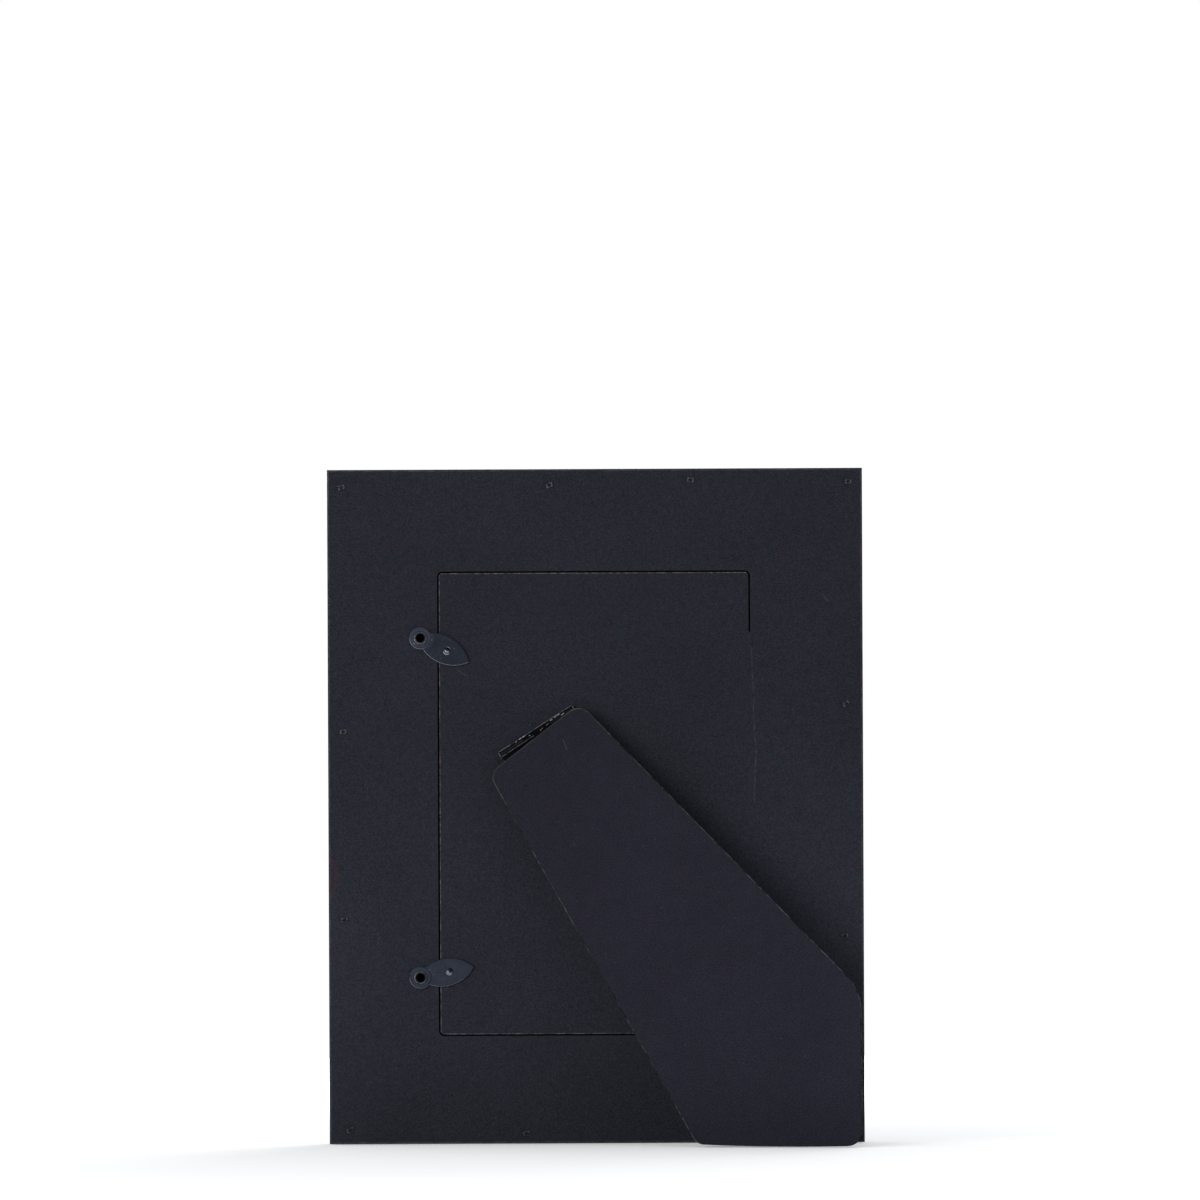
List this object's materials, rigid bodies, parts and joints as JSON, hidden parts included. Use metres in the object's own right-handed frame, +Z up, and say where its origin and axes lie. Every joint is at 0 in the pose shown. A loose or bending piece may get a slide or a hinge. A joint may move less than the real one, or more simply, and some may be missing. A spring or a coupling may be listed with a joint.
{
  "type": "easel back photo frame",
  "caption": "Wooden photo frame that stands on a diagonal easel leg, with a mitred moulding round a glazed window and a back hatch held by turn buttons.",
  "frame": {"origin": "middle of the footprint, on the table, with the frame standing on its open leg", "axes": "+Z up; +X to the right as seen from behind; the glazed front faces +Y and the leg is on the -Y side"},
  "size_m": [0.18, 0.0558, 0.2253],
  "materials": {
    "stained_wood": "satin",
    "fibre_board": "matte",
    "black_paper": "matte",
    "dark_steel": "satin",
    "gloss_black_steel": "gloss",
    "rivet_steel": "satin",
    "nail_steel": "satin",
    "clear_glass": "gloss",
    "white_paper": "matte",
    "grey_card": "matte"
  },
  "bodies": {
    "frame": {"top_rail": "stained_wood", "bottom_rail": "stained_wood", "left_rail": "stained_wood", "right_rail": "stained_wood", "corner_v_nails": "nail_steel", "glass_pane": "clear_glass", "paper_insert": "white_paper", "packing_card": "grey_card", "backing_board": "fibre_board", "hatch_board": "fibre_board", "facing_sheet": "black_paper", "backing_brads": "nail_steel", "turn_button_eyelets": "dark_steel", "hatch_hinge_plate": "gloss_black_steel", "hatch_rivets": "rivet_steel", "hinge_pin": "rivet_steel"},
    "leg": {"leg_board": "fibre_board", "leg_facing_sheet": "black_paper", "leg_lining_sheet": "black_paper", "leg_hinge_plate": "gloss_black_steel", "leg_rivets": "rivet_steel"},
    "upper_button": {"upper_turn_button": "dark_steel"},
    "lower_button": {"lower_turn_button": "dark_steel"}
  },
  "joints": [
    {"name": "leg_hinge", "type": "hinge", "parent": "frame", "child": "leg", "pos_m": [-0.0196, -0.00838, 0.13624], "axis": [-0.8425, 0.0881, -0.5315], "range_deg": [-12.5, 0]},
    {"name": "upper_button_pivot", "type": "hinge", "parent": "frame", "child": "upper_button", "pos_m": [-0.0587, -0.01222, 0.16784], "axis": [0, -0.9865, -0.1635], "continuous": true},
    {"name": "lower_button_pivot", "type": "hinge", "parent": "frame", "child": "lower_button", "pos_m": [-0.0591, 0.00642, 0.05532], "axis": [0, -0.9865, -0.1635], "continuous": true}
  ]
}
